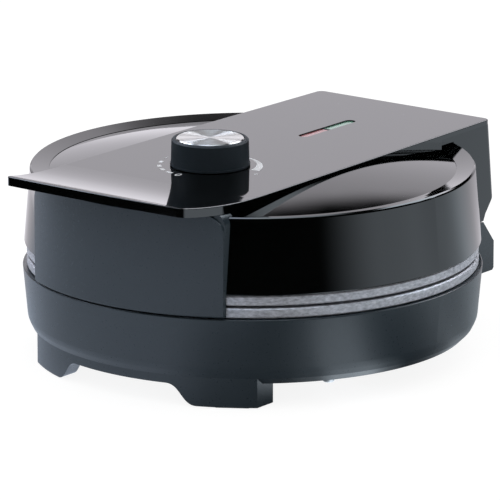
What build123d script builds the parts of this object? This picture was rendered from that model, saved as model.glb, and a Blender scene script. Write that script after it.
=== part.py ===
from build123d import *
from math import asin, cos, degrees, hypot, radians, sin
import os

os.makedirs("parts", exist_ok=True)

# Heart waffle maker, closed, in millimetres. +Z is up, the lip and the dial face -Y, the hinge is at +Y.
# The origin is on the table, under the middle of the whole object.

# Heights of the round body
foot_height = 11.55
base_height = 32.5
plate_seat_rise = 0.3
plate_band = 4.75
plate_gap = 1.3
lid_seat_drop = 0.4
lid_height = 36.6
strap_rise = 5.7

# Base housing
base_rim_radius = 110.9
base_waist_inset = 2.3
base_waist_rise = 7.1
base_bevel_inset = 1.9
base_bevel = 3.2
rim_blend = 0.5
waist_blend = 8.0
shell_wall = 2.5
base_flange_width = 19.8
ledge_width = 10.0
ledge_depth = 4.4
ledge_margin = 3.7
cord_passage = (24.0, 9.0)

# Feet, cut from one skirt at the front and one at the rear
foot_outer_x = 66.0
foot_inner_x = 41.5
ogee_start_x = 27.0
skirt_drop = 0.9
skirt_depth = 9.3
pad_length = 17.0
pad_width = 5.6
pad_depth = 2.6
pad_proud = 0.6
pad_clearance = 0.1

# Underside
cover_inset = 10.8
cover_thickness = 2.2
cover_screw_inset = 4.5
cover_screw_count = 6
cover_screw_start = 30.0
cover_boss_radius = 3.6
cover_boss_height = 7.2
vent_count = 12
vent_start = 15.0
vent_circle = 62.0
vent_length = 26.0
vent_width = 4.0

# Cast plates
plate_inset = 2.0
plate_body_play = 3.2
plate_edge = 0.6
pool_wall = 8.8
pool_depth = 3.5
heart_depth = 9.0
plate_floor = 3.5
heart_count = 5
front_turn = -90.0
heart_margin = 5.6
lobe_offset = 18.2
lobe_radius = 20.2
heart_tip_reach = 9.0
heart_tip_radius = 1.6
stud_side = 5.4
stud_pitch = 8.6
stud_height = 5.6
stud_draft = 10.0
stud_margin = 4.6
stud_reach = 7
lobe_steps = 40

# Heating elements on the backs of the plates
element_inset = 26.8
element_tube = 3.25
element_ridge = 8.0
element_ridge_depth = 3.0
element_groove_clearance = 0.1
element_gap_angle = 30.0
element_leg = 17.0

# Pressed heat shields
sheet = 0.8
base_shield_play = 0.4
base_shield_depth = 14.5
lid_shield_inset = 1.2
lid_shield_depth = 11.9
leg_hole_radius = 5.0

# Lid housing
lid_inset = 0.8
lid_taper = 3.0
lid_edge_drop = 0.8
lid_edge_blend = 1.2
rim_band = 8.4
rim_dip = 1.6
dome_step = 0.2
dome_curve = 560.0
dome_play = 0.3
dish_depth = 3.1
dish_wall = 2.4
post_spread = 36.0
post_radius = 5.5
post_length = 7.9
post_play = 0.4

# Strap across the lid
strap_wide_half = 56.3
curl_length = 51.0
strap_front_narrowing = 4.3
strap_rear_narrowing = 4.3
strap_bow = 2.5
strap_past_hinge = 5.2
strap_slab = 4.4
strap_skin = 2.4
strap_wall = 2.4
strap_edge = 0.5
strap_rear_corner = 3.5
strap_front_corner = 3.5
strap_side_blend = 300.0
curl_radius = 265.0
curl_turn = 12.5
peg_radius = 3.0
peg_spots = ((-40.0, -62.0), (40.0, -62.0), (-40.0, 14.0), (40.0, 14.0))
peg_length = 6.0
peg_play = 0.1

# Cover under the front lip
panel_stand = 2.1
lip_overhang = 13.5
panel_side_inset = 0.1
panel_bottom_gap = 1.2
panel_top_rise = 2.1
panel_corner = 9.0
panel_edge = 0.6
neck_setback = 1.2
neck_rise = 3.0
panel_screw_x = 30.0
panel_screw_rise = 18.9

# Hinge at the rear: both halves of the block meet at the pin, under a V notch
hinge_stand = 9.9
hinge_rise = 2.7
split_gap = 0.6
notch_kink = (1.7, 3.8)
notch_top = (8.6, 12.2)
notch_shoulder_rise = 1.5
notch_shoulder = 0.5
notch_low = (9.2, -11.6)
block_rise = 8.9
block_foot_chamfer = 1.1
block_corner = 3.0
block_wall = 3.0
block_cavity_half = 27.0
block_rear_wall = 4.8
base_cavity_floor = 3.2
base_cavity_height = 12.2
lid_cavity_rise = 13.9
barrel_radius = 5.0
barrel_relief = 0.4
lid_barrel_half = 20.2
barrel_side_gap = 0.4
pin_end_inset = 6.0
pin_radius = 2.0
pin_seat_clearance = 0.02
pin_running_clearance = 0.06
pin_access_radius = 2.4
joint_skin = 0.15

# Cord inlet bush in the rear face of the lower block
gland_bore_radius = 3.4
gland_neck_radius = 5.0
gland_lip_radius = 5.9
gland_flange_radius = 7.4
gland_flange = 2.6
gland_lip = 1.6
gland_play = 0.1
gland_length = 7.6

# Knob and dial, with the thermostat under them
knob_inset = 37.3
knob_gap = 0.4
knob_height = 12.8
knob_low_radius = 18.75
knob_high_radius = 18.45
knob_edge = 0.8
collar_radius = 19.1
collar_height = 0.9
knob_wall = 2.2
knob_hub_radius = 5.6
cap_radius = 16.4
cap_thickness = 1.4
cap_bevel = 0.6
cap_proud = 0.25
cap_play = 0.1
pointer_length = 5.4
pointer_width = 1.5
pointer_depth = 0.5
pointer_reach = 10.6
shaft_radius = 3.0
shaft_flat = 2.2
shaft_running_clearance = 0.06
shaft_fit_clearance = 0.05
shaft_hole_radius = 5.2
shaft_engage = 8.0
bushing_radius = 4.6
bushing_drop = 1.2
bushing_hole_radius = 7.0
thermostat_size = (24.0, 30.0, 16.0)
bracket_sheet = 1.0
bracket_margin = 4.0
bracket_ear = 9.0
ear_play = 0.15
thermostat_hole_margin = 3.0

# Pilot lamps in the strap's window
window_inset = 37.6
window_length = 43.0
window_width = 5.6
window_play = 0.15
lens_depth = 0.6
lens_flange = 1.2
lens_flange_margin = 1.7
lens_divider = 1.8
holder_wall = 1.6
holder_cavity_half = 3.0
holder_depth = 6.0
holder_margin = 1.2
holder_rest = 1.0
lamp_radius = 2.4
lamp_length = 14.0
lamp_seat = 0.1

# Terminal block and thermal fuse
terminal_size = (26.0, 12.0, 10.0)
terminal_y = 58.0
terminal_screw_radius = 2.0
terminal_screw_depth = 3.0
fuse_radius = 2.1
fuse_length = 12.0
fuse_spot = (34.0, -18.0)
fuse_seat = 0.1

# Screws, as shank radius, head radius, head height, and shares of the head's size
small_screw = (1.5, 2.8, 2.2)
long_screw = (2.0, 3.9, 2.6)
thread_clearance = 0.05
screw_clearance = 0.25
head_round = 0.4
slot_length = 1.1
slot_width = 0.26
slot_depth = 0.5
small_reach = 6.0
plate_screw_inset = 5.0
plate_screw_count = 6
plate_screw_reach = 3.4
block_screw_inset = 10.0
block_screw_rise = 10.2
block_screw_reach = 9.0
panel_screw_reach = 2.6
head_gap = 0.4
strap_screw_x = 33.0
strap_screw_inset = 9.8
strap_screw_channel = 3.6
strap_screw_bite = 1.8

# Limits that pick edges and faces: sizes that count as the same, how level an upward face is, and how
# upright a rear face is
same = 0.01
upward = 0.9
upright = 0.9

# Radii that follow from the sizes
base_waist_radius = base_rim_radius - base_waist_inset
base_bevel_radius = base_waist_radius - base_bevel_inset
base_flange_radius = base_bevel_radius - base_flange_width
ledge_radius = base_rim_radius - ledge_width
cover_radius = base_bevel_radius - cover_inset
cover_screw_circle = cover_radius - cover_screw_inset
plate_radius = base_rim_radius - plate_inset
plate_screw_circle = plate_radius - plate_screw_inset
plate_body_radius = ledge_radius - plate_body_play
pool_radius = plate_body_radius - pool_wall
lobe_reach = pool_radius - heart_margin - lobe_radius
element_radius = plate_body_radius - element_inset
base_shield_radius = plate_body_radius + base_shield_play + sheet
lid_shield_radius = plate_body_radius - lid_shield_inset
lid_low_radius = base_rim_radius - lid_inset
lid_high_radius = lid_low_radius - lid_taper
dish_radius = lid_high_radius - lid_edge_drop - rim_band
panel_radius = lid_low_radius + panel_stand

# Widths across, from the strap's
strap_front_half = strap_wide_half - strap_front_narrowing
block_half = strap_wide_half - strap_rear_narrowing
panel_half = strap_wide_half - panel_side_inset
base_barrel_end = block_half - pin_end_inset

# Places from front to rear, and across
front_reach = panel_radius + lip_overhang
hinge_y = lid_low_radius + hinge_stand
rear_reach = hinge_y + notch_low[0]
centre_y = (front_reach - rear_reach) / 2
strap_wide_y = curl_length - front_reach
knob_y = knob_inset - element_radius
window_y = dish_radius - window_inset
strap_rear_y = hinge_y + strap_past_hinge
strap_screw_y = strap_rear_y - strap_screw_inset
block_cavity_rear_y = rear_reach - block_rear_wall
block_screw_x = block_half - block_screw_inset

# Heights, from the table up
skirt_z = foot_height - skirt_drop
base_waist_z = foot_height + base_waist_rise
base_rim_z = foot_height + base_height
plate_seat_z = base_rim_z + plate_seat_rise
lower_face_z = plate_seat_z + plate_band
parting_z = lower_face_z + plate_gap / 2
upper_face_z = lower_face_z + plate_gap
lid_seat_z = upper_face_z + plate_band
lid_low_z = lid_seat_z + lid_seat_drop
lower_back_z = lower_face_z - heart_depth - plate_floor
upper_back_z = 2 * parting_z - lower_back_z
lid_rim_z = lid_low_z + lid_height
strap_top_z = lid_rim_z + strap_rise
dish_z = lid_rim_z - dish_depth
dome_edge_z = lid_rim_z - rim_dip - dome_step
dish_under_z = dish_z - dish_wall
strap_under_z = strap_top_z - strap_slab
skin_z = strap_top_z - strap_skin
ledge_under_z = plate_seat_z - ledge_depth
lid_ledge_top_z = lid_seat_z + ledge_depth
base_shield_floor_z = lower_back_z - base_shield_depth
lid_shield_floor_z = upper_back_z + lid_shield_depth
post_bottom_z = upper_back_z + post_length
element_z = lower_back_z - element_ridge_depth - element_groove_clearance
panel_bottom_z = base_rim_z + panel_bottom_gap
panel_top_z = lid_rim_z + panel_top_rise
panel_screw_z = lid_low_z + panel_screw_rise
hinge_z = base_rim_z + hinge_rise
block_low_z = foot_height + block_rise
block_top_z = skin_z
base_cavity_z = (block_low_z + base_cavity_floor, block_low_z + base_cavity_floor + base_cavity_height)
lid_cavity_z = (hinge_z + lid_cavity_rise, block_top_z - block_wall)
gland_z = sum(base_cavity_z) / 2
block_screw_z = (block_low_z + block_screw_rise, panel_screw_z)
bushing_top_z = skin_z - bushing_drop
holder_cavity_floor_z = dish_z - holder_depth
knob_z = strap_top_z + knob_gap
lid_draft = lid_taper / (lid_height - lid_edge_drop)

# Planes and axes that the sketches use
spindle = Axis((0, centre_y, 0), (0, 0, 1))
turning = Plane(origin=(0, centre_y, 0), x_dir=(1, 0, 0), z_dir=(0, -1, 0))
side = Plane(origin=(0, centre_y, 0), x_dir=(0, 1, 0), z_dir=(1, 0, 0))
front_rear = Plane(origin=(0, centre_y, 0), x_dir=(1, 0, 0), z_dir=(0, 1, 0))
parting = Plane(origin=(0, centre_y, parting_z))
gland_face = Plane(origin=(0, centre_y + rear_reach, gland_z), x_dir=(1, 0, 0), z_dir=(0, 1, 0))
knob_turning = Plane(origin=(0, centre_y + knob_y, 0), x_dir=(1, 0, 0), z_dir=(0, -1, 0))
knob_axis = Axis((0, centre_y + knob_y, 0), (0, 0, 1))
low = (Align.CENTER, Align.CENTER, Align.MIN)
high = (Align.CENTER, Align.CENTER, Align.MAX)


def level(z):
    """The horizontal plane at height z, centred on the round body."""
    return Plane(origin=(0, centre_y, z))


def dial(z):
    """The horizontal plane at height z, centred on the knob."""
    return Plane(origin=(0, centre_y + knob_y, z))


def window(z):
    """The horizontal plane at height z, centred on the lamp window."""
    return Plane(origin=(0, centre_y + window_y, z))


def outward(x, z, radius, towards):
    """A plane on the wall at width x, facing away from the body; towards is -1 in front, 1 at the rear."""
    y = towards * (radius**2 - x**2) ** 0.5
    return Plane(origin=(x, centre_y + y, z), x_dir=(0, 0, 1), z_dir=(x, y, 0))


def lid_radius(z):
    """Outer radius of the drafted lid wall at height z."""
    return lid_low_radius - lid_draft * (z - lid_low_z)


def base_radius(z):
    """Outer radius of the drafted base wall at height z."""
    draft = (base_rim_radius - base_waist_radius) / (base_rim_z - base_waist_z)
    return base_rim_radius - draft * (base_rim_z - z)


def screw(kind, reach):
    """A pan screw: its head hangs below the origin and its shank stands reach above it."""
    shank, head, height = kind
    with BuildPart() as made:
        Cylinder(head, height, align=high)
        fillet(made.edges().group_by(Axis.Z)[0], height * head_round)
        Cylinder(shank, reach, align=low)
        with BuildSketch(Plane.XY.offset(-height)):
            Rectangle(head * slot_length, head * slot_width)
            Rectangle(head * slot_width, head * slot_length)
        extrude(amount=height * slot_depth, mode=Mode.SUBTRACT)
    return made.part


# Feet: a ring under the rim of the base, kept where the outline of the feet is
with BuildPart() as skirt:
    with BuildSketch(turning):
        with BuildLine():
            skirt_inner = base_bevel_radius - skirt_depth
            Polyline(
                (skirt_inner, pad_proud),
                (base_bevel_radius, pad_proud),
                (base_bevel_radius, foot_height + base_bevel),
                (base_bevel_radius - shell_wall, foot_height + base_bevel),
                (base_bevel_radius - shell_wall, foot_height + shell_wall / 2),
                (skirt_inner, foot_height + shell_wall / 2),
                close=True,
            )
        make_face()
    revolve(axis=spindle)
    with BuildSketch(turning) as feet_outline:
        with BuildLine():
            top_z = foot_height + 2 * base_bevel
            ogee_mid = (ogee_start_x + foot_inner_x) / 2
            for s in (-1, 1):
                Line((0, top_z), (s * foot_outer_x, top_z))
                Line((s * foot_outer_x, top_z), (s * foot_outer_x, pad_proud))
                Line((s * foot_outer_x, pad_proud), (s * foot_inner_x, pad_proud))
                Bezier(
                    (s * foot_inner_x, pad_proud),
                    (s * ogee_mid, pad_proud),
                    (s * ogee_mid, skirt_z),
                    (s * ogee_start_x, skirt_z),
                )
                Line((s * ogee_start_x, skirt_z), (0, skirt_z))
        make_face()
    extrude(amount=base_rim_radius, mode=Mode.INTERSECT)

pad_circle = base_bevel_radius - skirt_depth / 2
pad_angle = degrees(asin((foot_outer_x + foot_inner_x) / 2 / pad_circle))
pad_turns = (-90 - pad_angle, -90 + pad_angle, 90 - pad_angle, 90 + pad_angle)
pad_spots = [
    Location((pad_circle * cos(radians(a)), centre_y + pad_circle * sin(radians(a)), 0), (0, 0, a + 90))
    for a in pad_turns
]

with BuildPart() as base_shell:
    with BuildSketch(turning):
        with BuildLine():
            wall_low = base_bevel_radius - base_bevel
            Polyline(
                (base_flange_radius, foot_height),
                (wall_low, foot_height),
                (base_bevel_radius, foot_height + base_bevel),
                (base_waist_radius, base_waist_z),
                (base_rim_radius, base_rim_z),
                (ledge_radius + ledge_margin + shell_wall, base_rim_z),
                (ledge_radius + ledge_margin + shell_wall, plate_seat_z),
                (ledge_radius, plate_seat_z),
                (ledge_radius, ledge_under_z),
                (base_radius(ledge_under_z) - shell_wall, ledge_under_z),
                (base_waist_radius - shell_wall, base_waist_z),
                (base_bevel_radius - shell_wall, foot_height + base_bevel),
                (wall_low - shell_wall / 2, foot_height + shell_wall),
                (base_flange_radius, foot_height + shell_wall),
                close=True,
            )
        make_face()
    revolve(axis=spindle)
    rim_edges = base_shell.edges().filter_by(GeomType.CIRCLE)
    fillet([e for e in rim_edges if abs(e.radius - base_rim_radius) < same], rim_blend)
    fillet([e for e in rim_edges if abs(e.radius - base_waist_radius) < same], waist_blend)
    add(skirt.part)
    mirror(skirt.part, about=front_rear)
    with Locations(level(foot_height + shell_wall)):
        with PolarLocations(cover_screw_circle, cover_screw_count, start_angle=cover_screw_start):
            Cylinder(cover_boss_radius, cover_boss_height, align=low)
    with Locations(level(foot_height)):
        with PolarLocations(cover_screw_circle, cover_screw_count, start_angle=cover_screw_start):
            Cylinder(
                small_screw[0] + thread_clearance, small_reach, align=low, mode=Mode.SUBTRACT
            )
    with Locations(level(ledge_under_z)):
        with PolarLocations(plate_screw_circle, plate_screw_count):
            Cylinder(
                small_screw[0] + screw_clearance, ledge_depth, align=low, mode=Mode.SUBTRACT
            )
    with Locations(*[spot * Location((0, 0, pad_proud)) for spot in pad_spots]):
        Box(
            pad_length + 2 * pad_clearance,
            pad_width + 2 * pad_clearance,
            pad_depth - pad_proud + pad_clearance,
            align=low,
            mode=Mode.SUBTRACT,
        )
    for s in (-1, 1):
        with Locations(outward(s * block_screw_x, block_screw_z[0], base_radius(block_screw_z[0]), 1)):
            Cylinder(small_screw[0] + screw_clearance, 4 * shell_wall, mode=Mode.SUBTRACT)
    with BuildSketch(turning):
        with Locations((0, gland_z)):
            SlotOverall(*cord_passage)
    extrude(amount=-base_rim_radius, mode=Mode.SUBTRACT)
base_shell.part.label = "base_shell"
export_step(base_shell.part, "parts/base_shell.step")

with BuildPart() as foot_pads:
    with Locations(*pad_spots):
        Box(pad_length, pad_width, pad_depth, align=low)
    fillet(foot_pads.edges().filter_by(Axis.Z), pad_width / 4)
foot_pads.part.label = "foot_pads"
export_step(foot_pads.part, "parts/foot_pads.step")

with BuildPart() as bottom_cover:
    with BuildSketch(level(foot_height - cover_thickness)):
        Circle(cover_radius)
        with PolarLocations(vent_circle, vent_count, start_angle=vent_start):
            SlotOverall(vent_length, vent_width, mode=Mode.SUBTRACT)
        with PolarLocations(cover_screw_circle, cover_screw_count, start_angle=cover_screw_start):
            Circle(small_screw[0] + screw_clearance, mode=Mode.SUBTRACT)
    extrude(amount=cover_thickness)
    chamfer(bottom_cover.edges().filter_by(GeomType.CIRCLE).sort_by(SortBy.RADIUS)[-2:], plate_edge)
bottom_cover.part.label = "bottom_cover"
export_step(bottom_cover.part, "parts/bottom_cover.step")

cover_screw = screw(small_screw, cover_thickness + small_reach - head_gap)
with BuildPart() as bottom_cover_screws:
    with Locations(level(foot_height - cover_thickness)):
        with PolarLocations(cover_screw_circle, cover_screw_count, start_angle=cover_screw_start):
            add(cover_screw)
bottom_cover_screws.part.label = "bottom_cover_screws"
export_step(bottom_cover_screws.part, "parts/bottom_cover_screws.step")


# Cast plates: hearts round the middle, each a pair of drop-shaped lobes that meet at the tip
def lobe(way, inset):
    """One drop of a heart along +X, on the side that way gives, drawn in by inset."""
    with BuildSketch() as drop:
        with Locations((lobe_reach, way * lobe_offset)):
            Circle(lobe_radius - inset)
        with Locations((heart_tip_reach, 0)):
            Circle(heart_tip_radius)
        make_hull(drop.edges())
    return drop.sketch


def in_heart(x, y):
    """Whether a stud centred at x, y stands clear of the wall of a heart that lies along +X."""
    for way in (-1, 1):
        for step in range(lobe_steps + 1):
            part = step / lobe_steps
            near_x = heart_tip_reach + part * (lobe_reach - heart_tip_reach)
            near_y = part * way * lobe_offset
            room = heart_tip_radius + part * (lobe_radius - heart_tip_radius) - stud_margin
            if hypot(x - near_x, y - near_y) < room:
                return True
    return False


right_lobe = lobe(-1, 0)
left_lobe = lobe(1, 0)
stud_spots = [
    (lobe_reach + i * stud_pitch, (j + 1 / 2) * stud_pitch)
    for i in range(-stud_reach, stud_reach)
    for j in range(-stud_reach, stud_reach)
    if in_heart(lobe_reach + i * stud_pitch, (j + 1 / 2) * stud_pitch)
]

with BuildPart() as plate_blank:
    with BuildSketch(turning):
        with BuildLine():
            ridge_in = element_radius - element_ridge
            ridge_out = element_radius + element_ridge
            ridge_z = lower_back_z - element_ridge_depth
            Polyline(
                (0, lower_face_z - pool_depth),
                (pool_radius, lower_face_z - pool_depth),
                (pool_radius + pool_depth / 2, lower_face_z),
                (plate_radius - plate_edge, lower_face_z),
                (plate_radius, lower_face_z - plate_edge),
                (plate_radius, plate_seat_z + plate_edge),
                (plate_radius - plate_edge, plate_seat_z),
                (plate_body_radius, plate_seat_z),
                (plate_body_radius, lower_back_z + plate_edge),
                (plate_body_radius - plate_edge, lower_back_z),
                (ridge_out, lower_back_z),
                (ridge_out, ridge_z),
                (ridge_in, ridge_z),
                (ridge_in, lower_back_z),
                (0, lower_back_z),
                close=True,
            )
        make_face()
    revolve(axis=spindle)
    with BuildSketch(level(lower_face_z - heart_depth)):
        with PolarLocations(0, heart_count, start_angle=front_turn):
            add(right_lobe)
            add(left_lobe)
    extrude(amount=heart_depth, mode=Mode.SUBTRACT)
    with BuildSketch(level(lower_face_z - heart_depth)):
        with PolarLocations(0, heart_count, start_angle=front_turn):
            with Locations(*stud_spots):
                Rectangle(stud_side, stud_side)
    extrude(amount=stud_height, taper=stud_draft)
    with BuildSketch(turning):
        with Locations((element_radius, element_z)):
            Circle(element_tube + element_groove_clearance)
    revolve(axis=spindle, mode=Mode.SUBTRACT)

with BuildPart() as lower_plate:
    add(plate_blank.part)
    with Locations(level(plate_seat_z)):
        with PolarLocations(plate_screw_circle, plate_screw_count):
            Cylinder(
                small_screw[0] + thread_clearance, plate_screw_reach, align=low, mode=Mode.SUBTRACT
            )
lower_plate.part.label = "lower_plate"
export_step(lower_plate.part, "parts/lower_plate.step")

plate_screw = screw(small_screw, sheet + ledge_depth + plate_screw_reach - head_gap)
with BuildPart() as lower_plate_screws:
    with Locations(level(ledge_under_z - sheet)):
        with PolarLocations(plate_screw_circle, plate_screw_count):
            add(plate_screw)
lower_plate_screws.part.label = "lower_plate_screws"
export_step(lower_plate_screws.part, "parts/lower_plate_screws.step")

post_corners = [(a * post_spread, b * post_spread) for a in (-1, 1) for b in (-1, 1)]
boss_radius = post_radius - thread_clearance

with BuildPart() as upper_plate:
    mirror(plate_blank.part, about=parting)
    with BuildSketch(level(upper_back_z)):
        with Locations(*post_corners):
            Circle(boss_radius)
    extrude(amount=post_bottom_z - upper_back_z)
    with Locations(level(post_bottom_z)):
        with Locations(*post_corners):
            Cylinder(
                long_screw[0] + thread_clearance,
                post_bottom_z - upper_back_z,
                align=high,
                mode=Mode.SUBTRACT,
            )
upper_plate.part.label = "upper_plate"
export_step(upper_plate.part, "parts/upper_plate.step")


# Tubular elements: an open ring in the groove, with two cold legs that turn away from the plate
leg_turns = (90 - element_gap_angle / 2, 90 + element_gap_angle / 2)
leg_spots = [(element_radius * cos(radians(a)), element_radius * sin(radians(a))) for a in leg_turns]
ring_start = Plane(
    origin=(0, centre_y, 0),
    x_dir=(cos(radians(leg_turns[1])), sin(radians(leg_turns[1])), 0),
    z_dir=(sin(radians(leg_turns[1])), -cos(radians(leg_turns[1])), 0),
)


def element(z, leg_align):
    """The open ring at height z, with its legs up or down as leg_align says."""
    with BuildPart() as made:
        with BuildSketch(ring_start):
            with Locations((element_radius, z)):
                Circle(element_tube)
        revolve(axis=spindle, revolution_arc=360 - element_gap_angle)
        with Locations(level(z)):
            with Locations(*leg_spots):
                Sphere(element_tube)
                Cylinder(element_tube, element_leg, align=leg_align)
    return made.part


upper_element_z = 2 * parting_z - element_z
lower_ring = element(element_z, high)
upper_ring = element(upper_element_z, low)

with BuildPart() as lower_heating_element:
    add(lower_ring)
lower_heating_element.part.label = "lower_heating_element"
export_step(lower_heating_element.part, "parts/lower_heating_element.step")

with BuildPart() as upper_heating_element:
    add(upper_ring)
upper_heating_element.part.label = "upper_heating_element"
export_step(upper_heating_element.part, "parts/upper_heating_element.step")

with BuildPart() as lower_heat_shield:
    with BuildSketch(turning):
        with BuildLine():
            Polyline(
                (0, base_shield_floor_z),
                (base_shield_radius, base_shield_floor_z),
                (base_shield_radius, ledge_under_z - sheet),
                (ledge_radius + ledge_margin + shell_wall, ledge_under_z - sheet),
                (ledge_radius + ledge_margin + shell_wall, ledge_under_z),
                (base_shield_radius - sheet, ledge_under_z),
                (base_shield_radius - sheet, base_shield_floor_z + sheet),
                (0, base_shield_floor_z + sheet),
                close=True,
            )
        make_face()
    revolve(axis=spindle)
    with Locations(level(base_shield_floor_z)):
        with Locations(*leg_spots):
            Cylinder(leg_hole_radius, sheet, align=low, mode=Mode.SUBTRACT)
    with Locations(level(ledge_under_z - sheet)):
        with PolarLocations(plate_screw_circle, plate_screw_count):
            Cylinder(small_screw[0] + screw_clearance, sheet, align=low, mode=Mode.SUBTRACT)
lower_heat_shield.part.label = "lower_heat_shield"
export_step(lower_heat_shield.part, "parts/lower_heat_shield.step")

with BuildPart() as upper_heat_shield:
    with BuildSketch(turning):
        with BuildLine():
            Polyline(
                (0, lid_shield_floor_z),
                (lid_shield_radius - sheet, lid_shield_floor_z),
                (lid_shield_radius - sheet, upper_back_z),
                (lid_shield_radius, upper_back_z),
                (lid_shield_radius, lid_shield_floor_z + sheet),
                (0, lid_shield_floor_z + sheet),
                close=True,
            )
        make_face()
    revolve(axis=spindle)
    with BuildSketch(level(lid_shield_floor_z)):
        with Locations(*leg_spots):
            Circle(leg_hole_radius)
        with Locations(*post_corners):
            Circle(post_radius + post_play)
        with Locations((0, knob_y)):
            Rectangle(
                thermostat_size[0] + 2 * thermostat_hole_margin,
                thermostat_size[1] + 2 * thermostat_hole_margin,
            )
    extrude(amount=sheet, mode=Mode.SUBTRACT)
upper_heat_shield.part.label = "upper_heat_shield"
export_step(upper_heat_shield.part, "parts/upper_heat_shield.step")


# Lid housing: drafted wall, rim band that slopes in, and a domed top with a channel for the strap
def strap_outline(plane):
    """The strap's outline, seen from above."""
    with BuildSketch(plane) as outline:
        with BuildLine():
            tip_y = -front_reach + strap_bow
            Polyline(
                (strap_front_half, tip_y),
                (strap_wide_half, strap_wide_y),
                (block_half, strap_rear_y),
                (-block_half, strap_rear_y),
                (-strap_wide_half, strap_wide_y),
                (-strap_front_half, tip_y),
            )
            ThreePointArc((-strap_front_half, tip_y), (0, -front_reach), (strap_front_half, tip_y))
        make_face()
        fillet(outline.vertices().sort_by(Axis.Y)[:2], strap_front_corner)
        fillet(outline.vertices().sort_by(Axis.Y)[-2:], strap_rear_corner)
        widest = [v for v in outline.vertices() if abs(v.X) > strap_wide_half - strap_edge / 10]
        fillet(widest, strap_side_blend)
    return outline.sketch


outline_face = strap_outline(level(0))
counterbore_depth = dish_wall + long_screw[2] / 2
panel_wall_radius = lid_radius(panel_screw_z)
holder_half = holder_cavity_half + holder_wall
holder_length = window_length + 2 * holder_margin + 2 * holder_wall


def dome(drop):
    """The two raised sides of the lid's top, clear of the strap; with a drop, the hollow under them."""
    with BuildPart() as made:
        with BuildSketch(turning):
            with BuildLine():
                edge_radius = dish_radius - drop
                edge_z = dome_edge_z - drop
                top_z = edge_z + dish_radius**2 / (2 * dome_curve)
                Line((0, dish_under_z), (0, top_z))
                ThreePointArc(
                    (0, top_z),
                    (edge_radius / 2, top_z - edge_radius**2 / (8 * dome_curve)),
                    (edge_radius, top_z - edge_radius**2 / (2 * dome_curve)),
                )
                Line((edge_radius, top_z - edge_radius**2 / (2 * dome_curve)), (edge_radius, dish_under_z))
                Line((edge_radius, dish_under_z), (0, dish_under_z))
            make_face()
        revolve(axis=spindle)
        with BuildSketch(level(dish_under_z)):
            add(outline_face)
            offset(amount=dome_play + drop, mode=Mode.REPLACE)
        extrude(amount=strap_top_z, mode=Mode.SUBTRACT)
    return made.part


with BuildPart() as lid_shell:
    with BuildSketch(turning):
        with BuildLine():
            band_out = lid_high_radius - lid_edge_drop
            band_in_z = lid_rim_z - rim_dip
            inner_low = lid_radius(lid_ledge_top_z) - shell_wall
            inner_high = lid_radius(dish_under_z) - shell_wall
            Polyline(
                (0, dish_under_z),
                (inner_high, dish_under_z),
                (inner_low, lid_ledge_top_z),
                (ledge_radius + ledge_margin / 2, lid_ledge_top_z),
                (ledge_radius + ledge_margin / 2, lid_seat_z),
                (plate_radius - lid_seat_drop, lid_seat_z),
                (plate_radius - lid_seat_drop, lid_low_z),
                (lid_low_radius, lid_low_z),
                (lid_high_radius, lid_rim_z - lid_edge_drop),
                (band_out, lid_rim_z),
                (dish_radius, band_in_z),
                (dish_radius, dish_z),
                (0, dish_z),
                close=True,
            )
        make_face()
    revolve(axis=spindle)
    rim_edges = lid_shell.edges().filter_by(GeomType.CIRCLE)
    fillet([e for e in rim_edges if abs(e.radius - lid_low_radius) < same], rim_blend)
    fillet([e for e in rim_edges if abs(e.radius - lid_high_radius) < same], lid_edge_blend)
    add(dome(0))
    add(dome(dish_wall), mode=Mode.SUBTRACT)
    with BuildSketch(level(dish_under_z)):
        with Locations(*post_corners):
            Circle(post_radius)
    extrude(amount=post_bottom_z - dish_under_z)
    with Locations(level(dish_z)):
        with Locations(*post_corners):
            Cylinder(long_screw[1] + screw_clearance, counterbore_depth, align=high, mode=Mode.SUBTRACT)
            Cylinder(
                long_screw[0] + screw_clearance,
                dish_z - post_bottom_z,
                align=high,
                mode=Mode.SUBTRACT,
            )
    with BuildSketch(level(dish_under_z)):
        with Locations((0, knob_y)):
            Circle(bushing_hole_radius)
        with Locations((0, window_y)):
            Rectangle(2 * (holder_half + window_play), holder_length + 2 * window_play)
        with Locations(*peg_spots):
            Circle(peg_radius + peg_play)
    extrude(amount=dish_wall, mode=Mode.SUBTRACT)
    for s in (-1, 1):
        with Locations(outward(s * block_screw_x, block_screw_z[1], lid_radius(block_screw_z[1]), 1)):
            Cylinder(small_screw[0] + screw_clearance, 4 * shell_wall, mode=Mode.SUBTRACT)
        with Locations(outward(s * panel_screw_x, panel_screw_z, panel_wall_radius, -1)):
            Cylinder(small_screw[0] + screw_clearance, 4 * shell_wall, mode=Mode.SUBTRACT)
lid_shell.part.label = "lid_shell"
export_step(lid_shell.part, "parts/lid_shell.step")

plate_long_screw = screw(long_screw, dish_z - counterbore_depth - upper_back_z - head_gap)
with BuildPart() as upper_plate_screws:
    with Locations(level(dish_z - counterbore_depth)):
        with Locations(*[Location((x, y, 0), (180, 0, 0)) for x, y in post_corners]):
            add(plate_long_screw)
upper_plate_screws.part.label = "upper_plate_screws"
export_step(upper_plate_screws.part, "parts/upper_plate_screws.step")


# Keeps a piece off the lid: a drafted plug a skin larger than its wall and rim, and straight below it
def lid_plug(skin):
    """The space of the lid, larger by skin, with the dished middle open up to the strap."""
    with BuildPart() as made:
        with BuildSketch(turning):
            with BuildLine():
                Polyline(
                    (0, 0),
                    (lid_low_radius + skin, 0),
                    (lid_low_radius + skin, lid_low_z),
                    (lid_radius(lid_rim_z) + skin, lid_rim_z + skin),
                    (dish_radius + skin, lid_rim_z + skin),
                    (dish_radius + skin, strap_top_z),
                    (0, strap_top_z),
                    close=True,
                )
            make_face()
        revolve(axis=spindle)
    return made.part


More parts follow.
